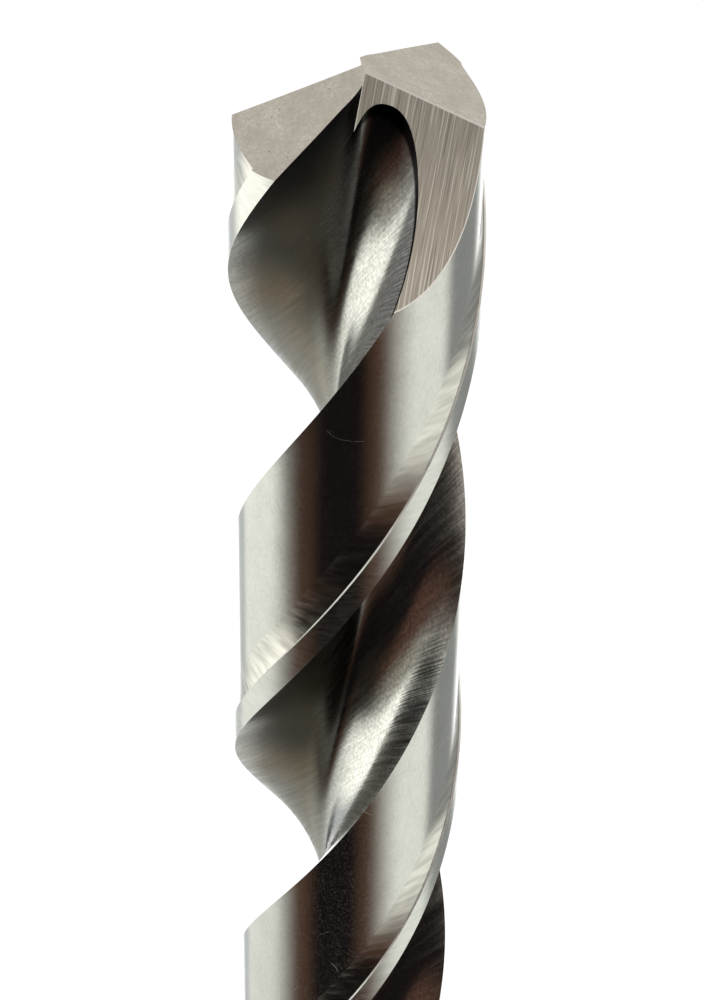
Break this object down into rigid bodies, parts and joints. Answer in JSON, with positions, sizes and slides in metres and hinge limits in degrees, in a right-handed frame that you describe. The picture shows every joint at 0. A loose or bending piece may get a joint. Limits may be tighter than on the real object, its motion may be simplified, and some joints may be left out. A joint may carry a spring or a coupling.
{
  "type": "twist drill bit",
  "caption": "Straight-shank twist drill with right-hand helical flutes, narrow margins and a split point.",
  "frame": {"origin": "centre of the shank's flat end, on the drill's axis", "axes": "+Z along the drill's axis towards the point; the first cutting lip points between +X and +Y"},
  "size_m": [0.008, 0.008, 0.117],
  "materials": {
    "bright_steel": "bright ground high-speed steel: polished flutes, fine-ground lands, coarser ground point"
  },
  "bodies": {
    "root": {"drill_bit": "bright_steel"}
  },
  "joints": []
}
